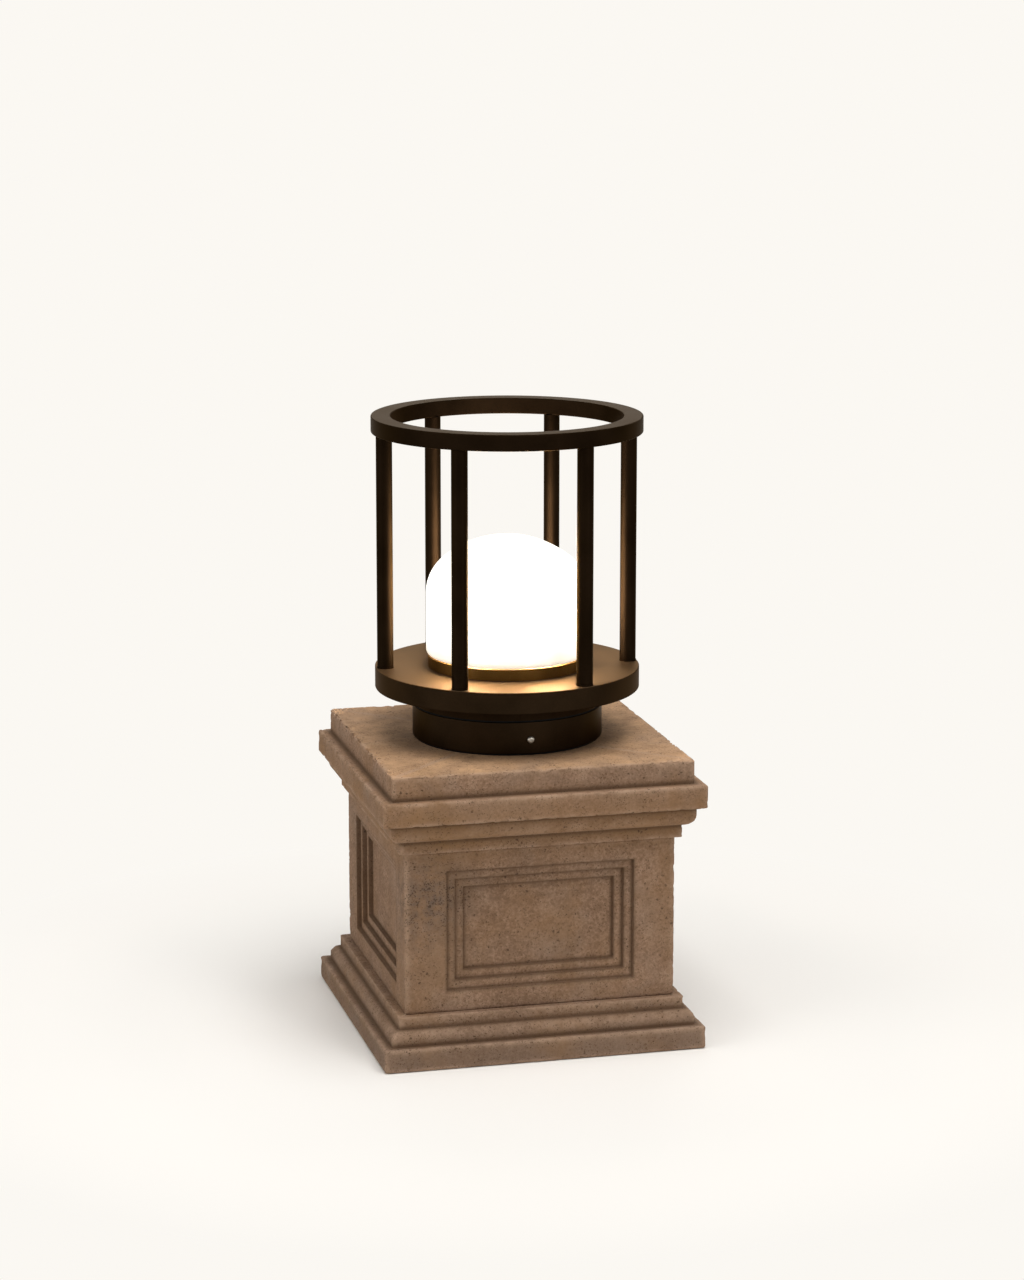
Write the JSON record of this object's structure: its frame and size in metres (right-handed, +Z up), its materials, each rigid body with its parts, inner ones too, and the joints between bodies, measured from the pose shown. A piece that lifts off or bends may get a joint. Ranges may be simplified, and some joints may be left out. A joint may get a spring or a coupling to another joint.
{
  "type": "pillar light",
  "caption": "Round cage lantern with an opal glass dome and a lift-off head, clamped in a cup on a moulded cast-stone pillar with sunk panels.",
  "frame": {"origin": "middle of the pillar's underside", "axes": "+Z up; -Y is the front, where one clamp screw shows; +X is to the right seen from the front"},
  "size_m": [0.3, 0.3, 0.57],
  "materials": {
    "stone": "matt cast stone",
    "dark_bronze": "satin dark bronze",
    "opal_glass": "satin opal",
    "stainless": "bright",
    "zinc_steel": "zinc plated",
    "brass": "plain",
    "black_rubber": "matt",
    "gland_nylon": "matt",
    "holder_ceramic": "glazed",
    "lamp_white": "matt",
    "lamp_diffuser": "frosted",
    "terminal_plastic": "satin",
    "lead_brown": "satin",
    "lead_blue": "satin",
    "lead_green": "satin"
  },
  "bodies": {
    "pillar": {"pillar_base": "stone", "pillar_die": "stone", "pillar_cap": "stone", "base_gasket": "black_rubber", "base_cup": "dark_bronze", "anchor_studs": "zinc_steel", "anchor_washers": "zinc_steel", "anchor_nuts": "zinc_steel", "cable_gland": "gland_nylon", "gland_nut": "gland_nylon", "gland_seal": "black_rubber", "gland_locknut": "gland_nylon", "cup_earth_screw": "brass"},
    "head": {"lamp_deck": "dark_bronze", "seam_gasket": "black_rubber", "cage_ring": "dark_bronze", "bar_screws": "zinc_steel", "glass_gallery": "dark_bronze", "gallery_screws": "zinc_steel", "holder_strap": "zinc_steel", "strap_screws": "zinc_steel", "lampholder": "holder_ceramic", "holder_shell": "brass", "holder_contact": "brass", "holder_screws": "zinc_steel", "terminal_block": "terminal_plastic", "terminal_inserts": "brass", "terminal_screws": "brass", "block_screw": "zinc_steel", "lead_live": "lead_brown", "lead_neutral": "lead_blue", "lead_earth": "lead_green", "earth_tag": "brass", "deck_earth_screw": "brass", "cage_bar_1": "dark_bronze", "cage_bar_2": "dark_bronze", "cage_bar_3": "dark_bronze", "cage_bar_4": "dark_bronze", "cage_bar_5": "dark_bronze", "cage_bar_6": "dark_bronze"},
    "dome_turn": {"glass_gasket": "black_rubber"},
    "dome": {"glass_dome": "opal_glass"},
    "lamp": {"lamp_cap": "brass", "lamp_body": "lamp_white", "lamp_globe": "lamp_diffuser"},
    "clamp_front": {"clamp_screw_front": "stainless"},
    "clamp_right": {"clamp_screw_right": "stainless"},
    "clamp_left": {"clamp_screw_left": "stainless"}
  },
  "joints": [
    {"name": "head_lift", "type": "slide", "parent": "pillar", "child": "head", "axis": [0, 0, 1], "range_m": [0, 0.12]},
    {"name": "dome_unscrew", "type": "hinge", "parent": "head", "child": "dome_turn", "pos_m": [0, 0, 0.3365], "axis": [0, 0, 1], "range_deg": [0, 540]},
    {"name": "dome_rise", "type": "slide", "parent": "dome_turn", "child": "dome", "axis": [0, 0, 1], "range_m": [0, 0.009]},
    {"name": "lamp_unscrew", "type": "hinge", "parent": "head", "child": "lamp", "pos_m": [0, 0, 0.35], "axis": [0, 0, 1], "range_deg": [0, 1080]},
    {"name": "clamp_turn_front", "type": "hinge", "parent": "pillar", "child": "clamp_front", "pos_m": [0, -0.088, 0.2847], "axis": [0, -1, 0], "range_deg": [0, 1080]},
    {"name": "clamp_turn_right", "type": "hinge", "parent": "pillar", "child": "clamp_right", "pos_m": [0.07621, 0.044, 0.2847], "axis": [0.866, 0.5, 0], "range_deg": [0, 1080]},
    {"name": "clamp_turn_left", "type": "hinge", "parent": "pillar", "child": "clamp_left", "pos_m": [-0.07621, 0.044, 0.2847], "axis": [-0.866, 0.5, 0], "range_deg": [0, 1080]}
  ],
  "couplings": [
    {"joint": "dome_rise", "follows": "dome_unscrew", "m_per_rad": 0.00095493}
  ]
}
